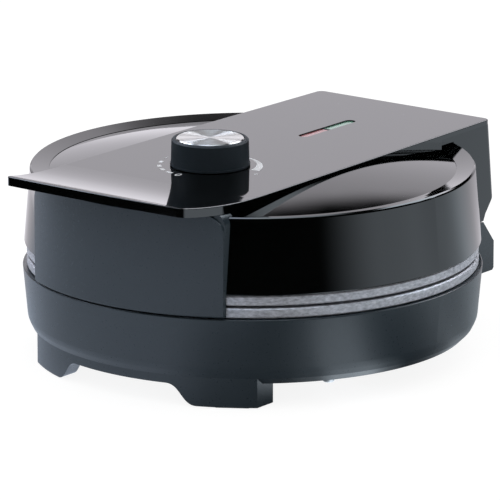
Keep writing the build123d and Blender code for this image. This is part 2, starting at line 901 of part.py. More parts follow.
def base_plug(skin):
    """The space of the base wall, larger by skin, from the table to above the plates."""
    with BuildPart() as made:
        with BuildSketch(turning):
            with BuildLine():
                Polyline(
                    (0, 0),
                    (base_radius(0) + skin, 0),
                    (base_rim_radius + skin, base_rim_z),
                    (base_rim_radius + skin, strap_top_z),
                    (0, strap_top_z),
                    close=True,
                )
            make_face()
        revolve(axis=spindle)
    return made.part


# Strap: a bar whose front end curls up into the lip, on a hollow riser in the channel
plug_for_lid = lid_plug(joint_skin)
plug_for_base = base_plug(joint_skin)
skin_radius = curl_radius + strap_slab
strap_screw_spots = [(-strap_screw_x, strap_screw_y), (strap_screw_x, strap_screw_y)]


def outer_edges(part):
    """The edges round the upward faces, without those that two upward faces share."""
    tops = part.faces().filter_by(lambda f: f.normal_at().Z > upward)
    highest = tops.filter_by(lambda f: f.center().Z > strap_top_z - strap_edge)
    edges = [e for f in highest for e in f.edges()]
    return [e for e in edges if sum(e.is_same(other) for other in edges) == 1]


with BuildPart() as curl_bar:
    with BuildSketch(side):
        with BuildLine():
            curl_centre = (strap_wide_y, strap_top_z + curl_radius)
            Line((strap_rear_y, strap_under_z), (strap_rear_y, strap_top_z))
            Line((strap_rear_y, strap_top_z), (strap_wide_y, strap_top_z))
            upper_arc = CenterArc(curl_centre, curl_radius, -90, -curl_turn)
            lower_arc = CenterArc(curl_centre, skin_radius, -90, -curl_turn)
            Line(upper_arc @ 1, lower_arc @ 1)
            Line((strap_wide_y, strap_under_z), (strap_rear_y, strap_under_z))
        make_face()
    extrude(amount=strap_wide_half + strap_slab, both=True)

with BuildPart() as top_strap:
    extrude(outline_face, amount=strap_top_z + curl_radius)
    add(curl_bar.part, mode=Mode.INTERSECT)
    fillet(outer_edges(top_strap.part), strap_edge)
    with BuildSketch(level(dish_z)) as riser:
        add(outline_face)
        Circle(dish_radius - thread_clearance, mode=Mode.INTERSECT)
    extrude(amount=strap_under_z - dish_z)
    with BuildSketch(level(dish_z)) as pocket:
        add(riser.sketch)
        offset(amount=-strap_wall, mode=Mode.REPLACE)
    extrude(amount=skin_z - dish_z, mode=Mode.SUBTRACT)
    with BuildSketch(level(dish_z - peg_length)):
        with Locations(*peg_spots):
            Circle(peg_radius)
    extrude(amount=skin_z - dish_z + peg_length)
    with BuildSketch(level(dish_z)):
        Rectangle(2 * strap_wide_half + 2 * strap_wall, 2 * strap_rear_y)
        Circle(dish_radius, mode=Mode.SUBTRACT)
        with Locations((0, -strap_rear_y / 2)):
            Rectangle(4 * strap_wide_half, strap_rear_y, mode=Mode.SUBTRACT)
    extrude(amount=skin_z - dish_z, mode=Mode.SUBTRACT)
    with BuildSketch(window(skin_z)):
        SlotOverall(window_length, window_width, rotation=90)
    extrude(amount=strap_skin, mode=Mode.SUBTRACT)
    with BuildSketch(dial(skin_z)):
        Circle(shaft_hole_radius)
    extrude(amount=strap_skin, mode=Mode.SUBTRACT)
    with BuildSketch(level(skin_z)):
        with Locations(*strap_screw_spots):
            Circle(small_screw[0] + thread_clearance)
    extrude(amount=strap_screw_bite, mode=Mode.SUBTRACT)
top_strap.part.label = "top_strap"
export_step(top_strap.part, "parts/top_strap.step")

# Cover under the lip: a curved plate with round upper corners, on a neck set back from its face
with BuildPart() as lip_space:
    with BuildSketch(side):
        with BuildLine():
            over_z = strap_top_z + 2 * strap_slab
            under_arc = CenterArc(curl_centre, skin_radius + joint_skin, -90, -curl_turn)
            Polyline(
                under_arc @ 0,
                (0, strap_under_z - joint_skin),
                (0, over_z),
                (-2 * panel_radius, over_z),
                under_arc @ 1,
            )
        make_face()
    extrude(amount=2 * strap_wide_half, both=True)

with BuildPart() as panel_core:
    with BuildSketch(level(panel_bottom_z)):
        Circle(panel_radius - neck_setback)
        Circle(lid_high_radius - shell_wall, mode=Mode.SUBTRACT)
    extrude(amount=panel_top_z + neck_rise - panel_bottom_z)
    with BuildSketch(turning) as core_outline:
        with Locations((0, (panel_bottom_z + panel_top_z + neck_rise) / 2)):
            Rectangle(2 * panel_half, panel_top_z + neck_rise - panel_bottom_z)
        fillet(core_outline.vertices().group_by(Axis.Y)[-1], panel_corner)
    extrude(amount=2 * panel_radius, mode=Mode.INTERSECT)

with BuildPart() as front_panel:
    with BuildSketch(turning):
        with BuildLine():
            Polyline(
                (lid_high_radius - shell_wall, panel_bottom_z),
                (panel_radius - panel_edge, panel_bottom_z),
                (panel_radius, panel_bottom_z + panel_edge),
                (panel_radius, panel_top_z - panel_edge),
                (panel_radius - panel_edge, panel_top_z),
                (lid_high_radius - shell_wall, panel_top_z),
                close=True,
            )
        make_face()
    revolve(axis=spindle)
    with BuildSketch(turning) as face_outline:
        with Locations((0, (panel_bottom_z + panel_top_z) / 2)):
            Rectangle(2 * panel_half, panel_top_z - panel_bottom_z)
        fillet(face_outline.vertices().group_by(Axis.Y)[-1], panel_corner)
    extrude(amount=2 * panel_radius, mode=Mode.INTERSECT)
    add(panel_core.part)
    add(lip_space.part, mode=Mode.SUBTRACT)
    add(plug_for_lid, mode=Mode.SUBTRACT)
    for s in (-1, 1):
        with Locations(outward(s * panel_screw_x, panel_screw_z, panel_wall_radius, -1)):
            Cylinder(
                small_screw[0] + thread_clearance,
                panel_screw_reach + joint_skin,
                align=low,
                mode=Mode.SUBTRACT,
            )
front_panel.part.label = "front_panel"
export_step(front_panel.part, "parts/front_panel.step")

wall_through = shell_wall + head_gap
panel_screw = screw(small_screw, wall_through + panel_screw_reach)
with BuildPart() as front_panel_screws:
    for s in (-1, 1):
        with Locations(outward(s * panel_screw_x, panel_screw_z, panel_wall_radius, -1)):
            add(panel_screw.moved(Location((0, 0, -wall_through))))
front_panel_screws.part.label = "front_panel_screws"
export_step(front_panel_screws.part, "parts/front_panel_screws.step")

# Hinge block, in two halves that meet at the pin
pin_start = Plane(origin=(0, centre_y + hinge_y, hinge_z), x_dir=(0, 1, 0), z_dir=(1, 0, 0))
base_barrel_in = lid_barrel_half + barrel_side_gap
base_barrel_length = base_barrel_end - base_barrel_in
kink = (hinge_y + notch_kink[0], hinge_z + notch_kink[1])
notch_upper = (hinge_y + notch_top[0], hinge_z + notch_top[1])
notch_lower = (hinge_y + notch_low[0], hinge_z + notch_low[1])
block_front_y = lid_high_radius / 2


def along_pin(start):
    """The place on the pin's line at x = start, facing +X."""
    return pin_start.offset(start)


def block_screw_holes(z, radius):
    """Blind holes for the two screws that come through the housing wall into the block."""
    for way in (-1, 1):
        with Locations(outward(way * block_screw_x, z, radius, 1)):
            Cylinder(
                small_screw[0] + thread_clearance, block_screw_reach, align=low, mode=Mode.SUBTRACT
            )


with BuildPart() as lid_hinge_block:
    with BuildSketch(side):
        with BuildLine():
            Polyline(
                (block_front_y, hinge_z + split_gap / 2),
                (hinge_y, hinge_z + split_gap / 2),
                kink,
                notch_upper,
                (notch_upper[0] + notch_shoulder, notch_upper[1] + notch_shoulder_rise),
                (strap_rear_y, block_top_z),
                (block_front_y, block_top_z),
                close=True,
            )
        make_face()
    extrude(amount=block_half, both=True)
    rear_faces = lid_hinge_block.faces().filter_by(lambda f: f.normal_at().Y > upright)
    rear_edges = rear_faces.sort_by(SortBy.AREA)[-1].edges()
    fillet([e for e in rear_edges if abs(e.center().X) > block_half - same], block_corner)
    with BuildSketch(side):
        with BuildLine():
            Polyline(
                (block_front_y, lid_cavity_z[0]),
                (block_cavity_rear_y, lid_cavity_z[0]),
                (strap_rear_y - block_wall, lid_cavity_z[1]),
                (block_front_y, lid_cavity_z[1]),
                close=True,
            )
        make_face()
    extrude(amount=block_cavity_half, both=True, mode=Mode.SUBTRACT)
    add(plug_for_lid, mode=Mode.SUBTRACT)
    relief_low = (base_barrel_in - barrel_side_gap, -base_barrel_end - barrel_side_gap)
    with Locations(*[along_pin(x) for x in relief_low]):
        Cylinder(
            barrel_radius + barrel_relief,
            base_barrel_length + 2 * barrel_side_gap,
            align=low,
            mode=Mode.SUBTRACT,
        )
    with Locations(along_pin(-lid_barrel_half)):
        Cylinder(barrel_radius, 2 * lid_barrel_half, align=low)
    with Locations(along_pin(-block_half)):
        Cylinder(
            pin_radius + pin_running_clearance, block_half + base_barrel_end, align=low, mode=Mode.SUBTRACT
        )
        Cylinder(pin_access_radius, block_half - base_barrel_end, align=low, mode=Mode.SUBTRACT)
    block_screw_holes(block_screw_z[1], lid_radius(block_screw_z[1]))
    with Locations(level(hinge_z)):
        with Locations(*strap_screw_spots):
            Cylinder(
                strap_screw_channel,
                block_top_z - block_wall - hinge_z,
                align=low,
                mode=Mode.SUBTRACT,
            )
            Cylinder(small_screw[0] + screw_clearance, block_top_z, align=low, mode=Mode.SUBTRACT)
lid_hinge_block.part.label = "lid_hinge_block"
export_step(lid_hinge_block.part, "parts/lid_hinge_block.step")

with BuildPart() as base_hinge_block:
    with BuildSketch(side):
        with BuildLine():
            Polyline(
                (block_front_y, hinge_z - split_gap / 2),
                (hinge_y, hinge_z - split_gap / 2),
                notch_lower,
                (rear_reach, block_low_z + block_foot_chamfer),
                (rear_reach - block_foot_chamfer, block_low_z),
                (block_front_y, block_low_z),
                close=True,
            )
        make_face()
    extrude(amount=block_half, both=True)
    with BuildSketch(side):
        with Locations(((block_front_y + block_cavity_rear_y) / 2, sum(base_cavity_z) / 2)):
            Rectangle(block_cavity_rear_y - block_front_y, base_cavity_z[1] - base_cavity_z[0])
    extrude(amount=block_cavity_half, both=True, mode=Mode.SUBTRACT)
    add(plug_for_base, mode=Mode.SUBTRACT)
    with Locations(along_pin(-lid_barrel_half - barrel_side_gap)):
        Cylinder(
            barrel_radius + barrel_relief,
            2 * (lid_barrel_half + barrel_side_gap),
            align=low,
            mode=Mode.SUBTRACT,
        )
    with Locations(along_pin(base_barrel_in), along_pin(-base_barrel_end)):
        Cylinder(barrel_radius, base_barrel_length, align=low)
    with Locations(along_pin(-base_barrel_end)):
        Cylinder(
            pin_radius + pin_seat_clearance, 2 * base_barrel_end, align=low, mode=Mode.SUBTRACT
        )
    with Locations(along_pin(-block_half)):
        Cylinder(pin_access_radius, block_half - base_barrel_end, align=low, mode=Mode.SUBTRACT)
    block_screw_holes(block_screw_z[0], base_radius(block_screw_z[0]))
    with BuildSketch(gland_face):
        Circle(gland_flange_radius + gland_play)
    extrude(amount=-gland_flange, mode=Mode.SUBTRACT)
    with BuildSketch(gland_face):
        Circle(gland_neck_radius + gland_play)
    extrude(amount=-(rear_reach - block_cavity_rear_y), mode=Mode.SUBTRACT)
base_hinge_block.part.label = "base_hinge_block"
export_step(base_hinge_block.part, "parts/base_hinge_block.step")

with BuildPart() as hinge_pin:
    with Locations(along_pin(-base_barrel_end)):
        Cylinder(pin_radius, 2 * base_barrel_end - pin_running_clearance, align=low)
    chamfer(hinge_pin.edges(), pin_radius / 5)
hinge_pin.part.label = "hinge_pin"
export_step(hinge_pin.part, "parts/hinge_pin.step")

with BuildPart() as cord_gland:
    with BuildSketch(gland_face):
        Circle(gland_flange_radius)
    extrude(amount=-gland_flange)
    with BuildSketch(gland_face):
        Circle(gland_neck_radius)
    extrude(amount=-gland_length)
    with BuildSketch(gland_face.offset(-(rear_reach - block_cavity_rear_y) - gland_play)):
        Circle(gland_lip_radius)
    extrude(amount=-gland_lip)
    with BuildSketch(gland_face):
        Circle(gland_bore_radius)
    extrude(amount=-gland_length, mode=Mode.SUBTRACT)
cord_gland.part.label = "cord_gland"
export_step(cord_gland.part, "parts/cord_gland.step")

block_screw = screw(small_screw, wall_through + block_screw_reach - head_gap)
with BuildPart() as base_hinge_screws:
    for s in (-1, 1):
        with Locations(outward(s * block_screw_x, block_screw_z[0], base_radius(block_screw_z[0]), 1)):
            add(block_screw.moved(Location((0, 0, -wall_through))))
base_hinge_screws.part.label = "base_hinge_screws"
export_step(base_hinge_screws.part, "parts/base_hinge_screws.step")

with BuildPart() as lid_hinge_screws:
    for s in (-1, 1):
        with Locations(outward(s * block_screw_x, block_screw_z[1], lid_radius(block_screw_z[1]), 1)):
            add(block_screw.moved(Location((0, 0, -wall_through))))
lid_hinge_screws.part.label = "lid_hinge_screws"
export_step(lid_hinge_screws.part, "parts/lid_hinge_screws.step")

strap_screw = screw(small_screw, block_wall + strap_screw_bite - head_gap)
with BuildPart() as strap_screws:
    with Locations(level(block_top_z - block_wall)):
        with Locations(*strap_screw_spots):
            add(strap_screw)
strap_screws.part.label = "strap_screws"
export_step(strap_screws.part, "parts/strap_screws.step")

# Knob: a drum on a thin collar, with a spun cap and the flatted shaft of the thermostat
knob_top_z = knob_z + knob_height
with BuildPart() as control_knob:
    with BuildSketch(knob_turning):
        with BuildLine():
            drum_in = knob_low_radius - knob_wall
            Polyline(
                (knob_hub_radius, knob_z),
                (knob_hub_radius, knob_top_z - cap_thickness - knob_wall),
                (drum_in, knob_top_z - cap_thickness - knob_wall),
                (drum_in, knob_z),
                (collar_radius, knob_z),
                (collar_radius, knob_z + collar_height),
                (knob_low_radius, knob_z + collar_height),
                (knob_high_radius, knob_top_z - knob_edge),
                (knob_high_radius - knob_edge, knob_top_z),
                (cap_radius + cap_play, knob_top_z),
                (cap_radius + cap_play, knob_top_z - cap_thickness),
                (0, knob_top_z - cap_thickness),
                (0, knob_z),
                close=True,
            )
        make_face()
    revolve(axis=knob_axis)
    with BuildSketch(dial(knob_z)):
        Circle(shaft_radius + shaft_fit_clearance)
        with Locations((0, shaft_flat + shaft_fit_clearance)):
            Rectangle(4 * shaft_radius, 2 * shaft_radius, align=(Align.CENTER, Align.MIN), mode=Mode.SUBTRACT)
    extrude(amount=shaft_engage, mode=Mode.SUBTRACT)
control_knob.part.label = "control_knob"
export_step(control_knob.part, "parts/control_knob.step")

with BuildPart() as knob_cap:
    with BuildSketch(dial(knob_top_z - cap_thickness)):
        Circle(cap_radius)
    extrude(amount=cap_thickness + cap_proud)
    chamfer(knob_cap.edges().group_by(Axis.Z)[-1], cap_bevel)
    with BuildSketch(dial(knob_top_z + cap_proud - pointer_depth)):
        with Locations((0, -pointer_reach)):
            Rectangle(pointer_width, pointer_length)
    extrude(amount=cap_thickness, mode=Mode.SUBTRACT)
knob_cap.part.label = "knob_cap"
export_step(knob_cap.part, "parts/knob_cap.step")

body_low_z = upper_back_z + bracket_sheet
body_top_z = body_low_z + thermostat_size[2]
shaft_low_z = body_top_z - thermostat_size[2] / 4
with BuildPart() as thermostat_shaft:
    with BuildSketch(dial(shaft_low_z)):
        Circle(shaft_radius)
    extrude(amount=knob_z + shaft_engage - shaft_fit_clearance - shaft_low_z)
    with BuildSketch(dial(knob_z)):
        with Locations((0, shaft_flat)):
            Rectangle(4 * shaft_radius, 2 * shaft_radius, align=(Align.CENTER, Align.MIN))
    extrude(amount=knob_height, mode=Mode.SUBTRACT)
thermostat_shaft.part.label = "thermostat_shaft"
export_step(thermostat_shaft.part, "parts/thermostat_shaft.step")

with BuildPart() as thermostat:
    with BuildSketch(dial(body_low_z)):
        RectangleRounded(thermostat_size[0], thermostat_size[1], bracket_sheet)
    extrude(amount=thermostat_size[2])
    with BuildSketch(dial(body_top_z)):
        Circle(bushing_radius)
    extrude(amount=bushing_top_z - body_top_z)
    with BuildSketch(dial(shaft_low_z - shaft_running_clearance)):
        Circle(shaft_radius + shaft_running_clearance)
    extrude(amount=bushing_top_z, mode=Mode.SUBTRACT)
thermostat.part.label = "thermostat"
export_step(thermostat.part, "parts/thermostat.step")

with BuildPart() as thermostat_bracket:
    with BuildSketch(dial(upper_back_z)):
        Rectangle(thermostat_size[0] + 2 * bracket_margin, thermostat_size[1] + 2 * bracket_margin)
    extrude(amount=bracket_sheet)
    ear_x = thermostat_size[0] / 2 + ear_play + bracket_sheet / 2
    with BuildSketch(dial(upper_back_z + bracket_sheet)):
        with Locations((-ear_x, 0), (ear_x, 0)):
            Rectangle(bracket_sheet, thermostat_size[1] - 2 * bracket_margin)
    extrude(amount=bracket_ear)
thermostat_bracket.part.label = "thermostat_bracket"
export_step(thermostat_bracket.part, "parts/thermostat_bracket.step")

# Pilot lamps: two lenses in the window, on a holder that hangs through the dish
lens_top_z = strap_top_z - lens_depth
flange_top_z = skin_z - window_play
flange_low_z = flange_top_z - lens_flange
half_window = window_length / 2 - window_play
with BuildPart() as lamp_holder:
    with BuildSketch(window(holder_cavity_floor_z - holder_wall)):
        Rectangle(2 * holder_half, holder_length)
    extrude(amount=flange_low_z - holder_cavity_floor_z + holder_wall)
    with BuildSketch(window(dish_z)):
        Rectangle(2 * (holder_half + holder_margin), holder_length + 2 * holder_margin)
    extrude(amount=holder_rest)
    with BuildSketch(window(holder_cavity_floor_z)):
        Rectangle(2 * holder_cavity_half, holder_length - 2 * holder_wall)
    extrude(amount=flange_low_z, mode=Mode.SUBTRACT)
    with BuildSketch(window(holder_cavity_floor_z)):
        Rectangle(2 * holder_cavity_half, lens_divider)
    extrude(amount=flange_low_z - holder_cavity_floor_z)
    with BuildSketch(window(flange_low_z)):
        Rectangle(window_width - 2 * window_play, lens_divider)
    extrude(amount=lens_top_z - flange_low_z)
lamp_holder.part.label = "lamp_holder"
export_step(lamp_holder.part, "parts/lamp_holder.step")


def lens(way):
    """One half of the window: a round-ended lens on a square flange, towards the front or the rear."""
    with BuildPart() as made:
        with BuildSketch(window(flange_low_z)):
            SlotOverall(2 * half_window, window_width - 2 * window_play, rotation=90)
        extrude(amount=lens_top_z - flange_low_z)
        with BuildSketch(window(flange_low_z)):
            Rectangle(window_width + 2 * lens_flange_margin, 2 * half_window)
        extrude(amount=lens_flange)
        fillet(made.edges().group_by(Axis.Z)[-1], lens_flange / 4)
        with BuildSketch(window(0)):
            with Locations((0, way * (lens_divider / 2 + window_play + half_window))):
                Rectangle(4 * window_width, 2 * half_window)
        extrude(amount=strap_top_z, mode=Mode.INTERSECT)
    return made.part


front_lens = lens(-1)
rear_lens = lens(1)

with BuildPart() as red_lens:
    add(front_lens)
red_lens.part.label = "red_lens"
export_step(red_lens.part, "parts/red_lens.step")

with BuildPart() as green_lens:
    add(rear_lens)
green_lens.part.label = "green_lens"
export_step(green_lens.part, "parts/green_lens.step")

with BuildPart() as neon_lamps:
    lamp_z = holder_cavity_floor_z + lamp_radius + lamp_seat
    for s in (-1, 1):
        lamp_middle = window(lamp_z).origin + Vector(0, s * window_length / 4, 0)
        with Locations(Plane(origin=lamp_middle, x_dir=(1, 0, 0), z_dir=(0, 1, 0))):
            Cylinder(lamp_radius, lamp_length)
    fillet(neon_lamps.edges().filter_by(GeomType.CIRCLE), lamp_radius / 2)
neon_lamps.part.label = "neon_lamps"
export_step(neon_lamps.part, "parts/neon_lamps.step")

with BuildPart() as terminal_block:
    with Locations(level(foot_height) * Location((0, terminal_y, 0))):
        Box(*terminal_size, align=low)
    with Locations(level(foot_height + terminal_size[2]) * Location((0, terminal_y, 0))):
        with GridLocations(terminal_size[0] / 3, 0, 3, 1):
            Cylinder(terminal_screw_radius, terminal_screw_depth, align=high, mode=Mode.SUBTRACT)
terminal_block.part.label = "terminal_block"
export_step(terminal_block.part, "parts/terminal_block.step")

with BuildPart() as thermal_fuse:
    fuse_z = lower_back_z - fuse_radius - fuse_seat
    fuse_middle = (fuse_spot[0], centre_y + fuse_spot[1], fuse_z)
    with Locations(Plane(origin=fuse_middle, x_dir=(0, 1, 0), z_dir=(1, 0, 0))):
        Cylinder(fuse_radius, fuse_length)
    fillet(thermal_fuse.edges().filter_by(GeomType.CIRCLE), fuse_radius / 3)
thermal_fuse.part.label = "thermal_fuse"
export_step(thermal_fuse.part, "parts/thermal_fuse.step")
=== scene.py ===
"""Heart waffle maker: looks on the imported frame. Lengths are in metres, in the frame's own axes, except on
the dial, where they are in mm from the knob's middle."""

from math import asin, atan2, cos, degrees, hypot, pi, radians, sin

import bpy
from mathutils import Matrix, Vector


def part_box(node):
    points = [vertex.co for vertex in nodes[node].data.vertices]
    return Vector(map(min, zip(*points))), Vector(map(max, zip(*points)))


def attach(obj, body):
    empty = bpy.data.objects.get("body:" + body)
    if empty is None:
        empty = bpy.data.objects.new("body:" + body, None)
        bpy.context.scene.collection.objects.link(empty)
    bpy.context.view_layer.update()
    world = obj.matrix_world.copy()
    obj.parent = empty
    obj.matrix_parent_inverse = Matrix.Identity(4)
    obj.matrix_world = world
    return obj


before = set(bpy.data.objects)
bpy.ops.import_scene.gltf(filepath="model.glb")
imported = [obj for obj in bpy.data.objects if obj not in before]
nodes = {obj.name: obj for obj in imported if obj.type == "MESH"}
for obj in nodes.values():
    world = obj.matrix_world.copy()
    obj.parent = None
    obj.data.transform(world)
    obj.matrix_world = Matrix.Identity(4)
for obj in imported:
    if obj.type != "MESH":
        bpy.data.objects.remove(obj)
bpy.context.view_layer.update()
scene = bpy.context.scene

MM = 0.001
KNOB_GAP = 0.4 * MM
base_low, base_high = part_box("base_shell")
knob_low, knob_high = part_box("control_knob")
CENTRE_Y = (base_low.y + base_high.y) / 2
KNOB_Y = (knob_low.y + knob_high.y) / 2
STRAP_TOP = knob_low.z - KNOB_GAP


def mix(low, high, share):
    """The value a share of the way from low to high."""
    return low + (high - low) * share


# Camera: fitted to the outline of the object in the photograph
PHOTO_SIDE = 500
SENSOR = 36.0
AZIMUTH = 37.07
ELEVATION = 14.57
DISTANCE = 2.718
FOCAL_PIXELS = 5636.9
CENTRE_PIXEL = (252.75, 246.71)
AIM = Vector((0, CENTRE_Y, 50.65 * MM))
CLIP_END = 50.0

az, el = radians(AZIMUTH), radians(ELEVATION)
back = Vector((sin(az) * cos(el), -cos(az) * cos(el), sin(el)))
right = Vector((0, 0, 1)).cross(back).normalized()
up = back.cross(right)
camera_data = bpy.data.cameras.new("camera")
camera = bpy.data.objects.new("camera", camera_data)
scene.collection.objects.link(camera)
facing = Matrix((right, up, back)).transposed().to_4x4()
camera.matrix_world = Matrix.Translation(AIM + back * DISTANCE) @ facing
camera_data.sensor_width = SENSOR
camera_data.lens = FOCAL_PIXELS * SENSOR / PHOTO_SIDE
camera_data.shift_x = (PHOTO_SIDE / 2 - CENTRE_PIXEL[0]) / PHOTO_SIDE
camera_data.shift_y = (CENTRE_PIXEL[1] - PHOTO_SIDE / 2) / PHOTO_SIDE
camera_data.clip_end = CLIP_END
scene.camera = camera


# Materials: noise scales are in features per metre, and most of the noise lies in this range of values
NOISE_LOW, NOISE_HIGH = 0.3, 0.7


class Nodes:
    """A short way to write one material's node tree."""

    def __init__(self, name):
        self.material = bpy.data.materials.new(name)
        self.material.use_nodes = True
        self.tree = self.material.node_tree
        self.shader = self.tree.nodes["Principled BSDF"]
        self.output = self.tree.nodes["Material Output"]
        self.place = self.node("ShaderNodeTexCoord").outputs["Object"]

    def node(self, kind, **settings):
        """Adds a node. A setting is an attribute where the node has one, and else an input's value."""
        made = self.tree.nodes.new(kind)
        for key, value in settings.items():
            if hasattr(made, key):
                setattr(made, key, value)
            else:
                made.inputs[key.replace("_", " ")].default_value = value
        return made

    def link(self, a, b):
        self.tree.links.new(a, b)

    def set(self, **values):
        for key, value in values.items():
            self.shader.inputs[key.replace("_", " ")].default_value = value

    def noise(self, scale, detail, rough=0.5, stretch=None):
        """Noise whose values lie about 0.5, with its scale multiplied along the axes by stretch."""
        place = self.place
        if stretch:
            mapping = self.node("ShaderNodeMapping")
            mapping.inputs["Scale"].default_value = stretch
            self.link(place, mapping.inputs["Vector"])
            place = mapping.outputs["Vector"]
        made = self.node("ShaderNodeTexNoise", Scale=scale, Detail=detail, Roughness=rough)
        self.link(place, made.inputs["Vector"])
        return made.outputs["Fac"]

    def ramp(self, value, stops, to):
        """Feeds the shader's input to with value, mapped through stops of (position, colour or grey)."""
        made = self.node("ShaderNodeValToRGB")
        band = made.color_ramp
        while len(band.elements) < len(stops):
            band.elements.new(0.5)
        for element, (position, colour) in zip(band.elements, stops):
            element.position = position
            if not hasattr(colour, "__len__"):
                colour = (colour, colour, colour)
            element.color = (*colour, 1)
        self.link(value, made.inputs["Fac"])
        self.link(made.outputs["Color"], self.shader.inputs[to])

    def spread(self, value, low, high, to):
        """Feeds the shader's input to with low to high, as noise in value wanders."""
        self.ramp(value, [(NOISE_LOW, low), (NOISE_HIGH, high)], to)

    def bump(self, height, distance, strength):
        made = self.node("ShaderNodeBump", Strength=strength, Distance=distance)
        self.link(height, made.inputs["Height"])
        self.link(made.outputs["Normal"], self.shader.inputs["Normal"])


def gloss_black():
    """Lacquer of the lid: nearly black, with a faint waviness."""
    n = Nodes("gloss_black")
    n.set(IOR=1.55)
    n.spread(n.noise(18, 3), (0.0006, 0.0008, 0.0008), (0.0012, 0.0014, 0.0014), "Base Color")
    n.spread(n.noise(55, 4), 0.035, 0.055, "Roughness")
    n.bump(n.noise(260, 2), 0.004 * MM, 0.12)
    return n.material


def satin_black():
    """Moulded housing: blue-black, with a fine grain."""
    n = Nodes("satin_black")
    n.set(IOR=1.5)
    n.spread(n.noise(14, 3), (0.0115, 0.019, 0.0245), (0.0135, 0.021, 0.0275), "Base Color")
    n.spread(n.noise(900, 3), 0.27, 0.33, "Roughness")
    n.bump(n.noise(2600, 3), 0.02 * MM, 0.35)
    return n.material


def cast_plate():
    """Cast plates: grey, streaked a little along the height."""
    n = Nodes("cast_plate")
    n.set(Metallic=0.55, IOR=1.5)
    dark, middle, light = (0.26, 0.265, 0.29), (0.42, 0.43, 0.465), (0.6, 0.61, 0.65)
    streak = n.noise(420, 4, 0.6, stretch=(1, 1, 2.2))
    n.ramp(streak, [(0.3, dark), (0.52, middle), (0.75, light)], "Base Color")
    n.spread(n.noise(700, 3), 0.38, 0.55, "Roughness")
    n.bump(n.noise(1500, 3), 0.05 * MM, 0.5)
    return n.material


def plain(name, low, high, rough, metal=0.0, scale=300, specular=0.5):
    """A surface whose colour wanders between low and high, with a fine grain."""
    n = Nodes(name)
    n.set(Metallic=metal, IOR=1.5, Specular_IOR_Level=specular)
    n.spread(n.noise(scale, 3), low, high, "Base Color")
    n.spread(n.noise(scale * 3, 3), rough * 0.85, rough * 1.15, "Roughness")
    n.bump(n.noise(scale * 6, 2), 0.02 * MM, 0.4)
    return n.material


def spun_cap():
    """Metal disc with rings turned about the knob's middle, so its light falls in fans."""
    n = Nodes("spun_cap")
    n.set(Metallic=1.0, Anisotropic=1.0, Anisotropic_Rotation=0.25)
    away = n.node("ShaderNodeVectorMath", operation="SUBTRACT")
    n.link(n.place, away.inputs[0])
    away.inputs[1].default_value = (0, KNOB_Y, 0)
    flat = n.node("ShaderNodeVectorMath", operation="MULTIPLY")
    n.link(away.outputs[0], flat.inputs[0])
    flat.inputs[1].default_value = (1, 1, 0)
    length = n.node("ShaderNodeVectorMath", operation="LENGTH")
    n.link(flat.outputs[0], length.inputs[0])
    noise = n.node("ShaderNodeTexNoise", noise_dimensions="1D", Scale=9000.0, Detail=3.0)
    n.link(length.outputs["Value"], noise.inputs["W"])
    rings = noise.outputs["Fac"]
    n.spread(rings, (0.52, 0.525, 0.51), (0.66, 0.665, 0.65), "Base Color")
    n.spread(rings, 0.27, 0.35, "Roughness")
    n.bump(rings, 0.01 * MM, 0.35)
    tangent = n.node("ShaderNodeTangent", direction_type="RADIAL", axis="Z")
    n.link(tangent.outputs["Tangent"], n.shader.inputs["Tangent"])
    return n.material


def lens(name, dark, light):
    """Coloured plastic that lets a little light through."""
    n = Nodes(name)
    n.set(IOR=1.49, Transmission_Weight=0.1, Coat_Weight=0.3)
    n.spread(n.noise(500, 2), dark, light, "Base Color")
    n.spread(n.noise(900, 2), 0.12, 0.22, "Roughness")
    return n.material


gloss = gloss_black()
satin = satin_black()
plate = cast_plate()
steel = plain("plain_steel", (0.42, 0.42, 0.43), (0.58, 0.58, 0.58), 0.34, metal=1.0)
tinted = plain("heat_tinted", (0.13, 0.12, 0.115), (0.24, 0.2, 0.17), 0.45, metal=1.0)
sheet = plain("rolled_sheet", (0.6, 0.6, 0.61), (0.72, 0.72, 0.73), 0.32, metal=1.0)
rubber = plain("soft_rubber", (0.016, 0.016, 0.017), (0.026, 0.026, 0.027), 0.8, scale=500)
ceramic = plain("pale_ceramic", (0.62, 0.58, 0.5), (0.72, 0.69, 0.62), 0.5)
moulded = plain("moulded_black", (0.012, 0.012, 0.013), (0.02, 0.02, 0.021), 0.55, scale=700)
drum_dark, drum_light = (0.0115, 0.0175, 0.023), (0.0135, 0.0195, 0.0255)
knob_side = plain("knob_side", drum_dark, drum_light, 0.5, scale=600, specular=0.2)
brass = plain("fuse_brass", (0.5, 0.36, 0.18), (0.62, 0.47, 0.26), 0.35, metal=1.0)

wear = {
    "base_shell": satin,
    "front_panel": satin,
    "base_hinge_block": satin,
    "lid_shell": gloss,
    "top_strap": gloss,
    "lid_hinge_block": gloss,
    "bottom_cover": moulded,
    "foot_pads": rubber,
    "cord_gland": rubber,
    "lower_plate": plate,
    "upper_plate": plate,
    "lower_heating_element": tinted,
    "upper_heating_element": tinted,
    "lower_heat_shield": sheet,
    "upper_heat_shield": sheet,
    "thermostat": ceramic,
    "terminal_block": ceramic,
    "thermal_fuse": brass,
    "lamp_holder": moulded,
    "control_knob": knob_side,
    "knob_cap": spun_cap(),
    "red_lens": lens("red_lens", (0.34, 0.1, 0.11), (0.42, 0.14, 0.15)),
    "green_lens": lens("green_lens", (0.13, 0.3, 0.22), (0.17, 0.38, 0.28)),
    "neon_lamps": lens("lamp_glass", (0.8, 0.7, 0.65), (0.9, 0.82, 0.78)),
}
# Screws, pin, bracket and shaft aren't named above, and are plain steel
for name, node in nodes.items():
    node.data.materials.clear()
    node.data.materials.append(wear.get(name, steel))


